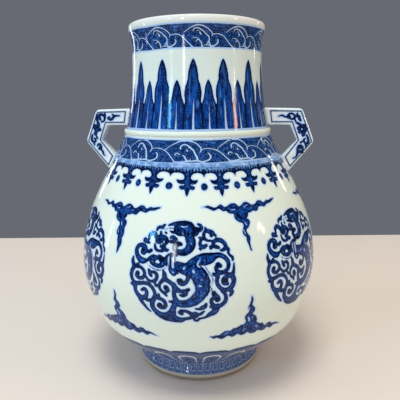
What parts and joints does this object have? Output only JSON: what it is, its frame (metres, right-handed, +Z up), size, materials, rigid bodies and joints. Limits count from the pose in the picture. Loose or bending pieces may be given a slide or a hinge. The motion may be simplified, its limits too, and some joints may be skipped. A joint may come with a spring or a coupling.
{
  "type": "hu vase",
  "caption": "Large pear-bodied hu vase with a straight neck, raised clay strings and bent strap handles, painted in blue on white porcelain.",
  "frame": {"origin": "on the vase's axis, at the level of the foot that it stands on", "axes": "+Z up along the vase's axis, X through the two handles, -Y to the painted front"},
  "size_m": [0.3426, 0.3426, 0.49],
  "materials": {
    "body_glaze": "pale bluish white porcelain glaze with cobalt painting, glossy",
    "neck_glaze": "white porcelain glaze under cobalt wave and leaf painting, glossy",
    "collar_glaze": "cobalt wave band under clear glaze, glossy",
    "string_glaze": "white porcelain glaze, glossy",
    "foot_glaze": "cobalt fret border under clear glaze, with the standing edge bare",
    "handle_glaze": "white porcelain glaze with cobalt scroll painting, glossy"
  },
  "bodies": {
    "root": {"foot_ring": "foot_glaze", "lower_body": "body_glaze", "upper_body": "body_glaze", "shoulder_string": "string_glaze", "collar": "collar_glaze", "neck_string": "string_glaze", "neck": "neck_glaze", "handle_right": "handle_glaze", "handle_left": "handle_glaze"}
  },
  "joints": []
}
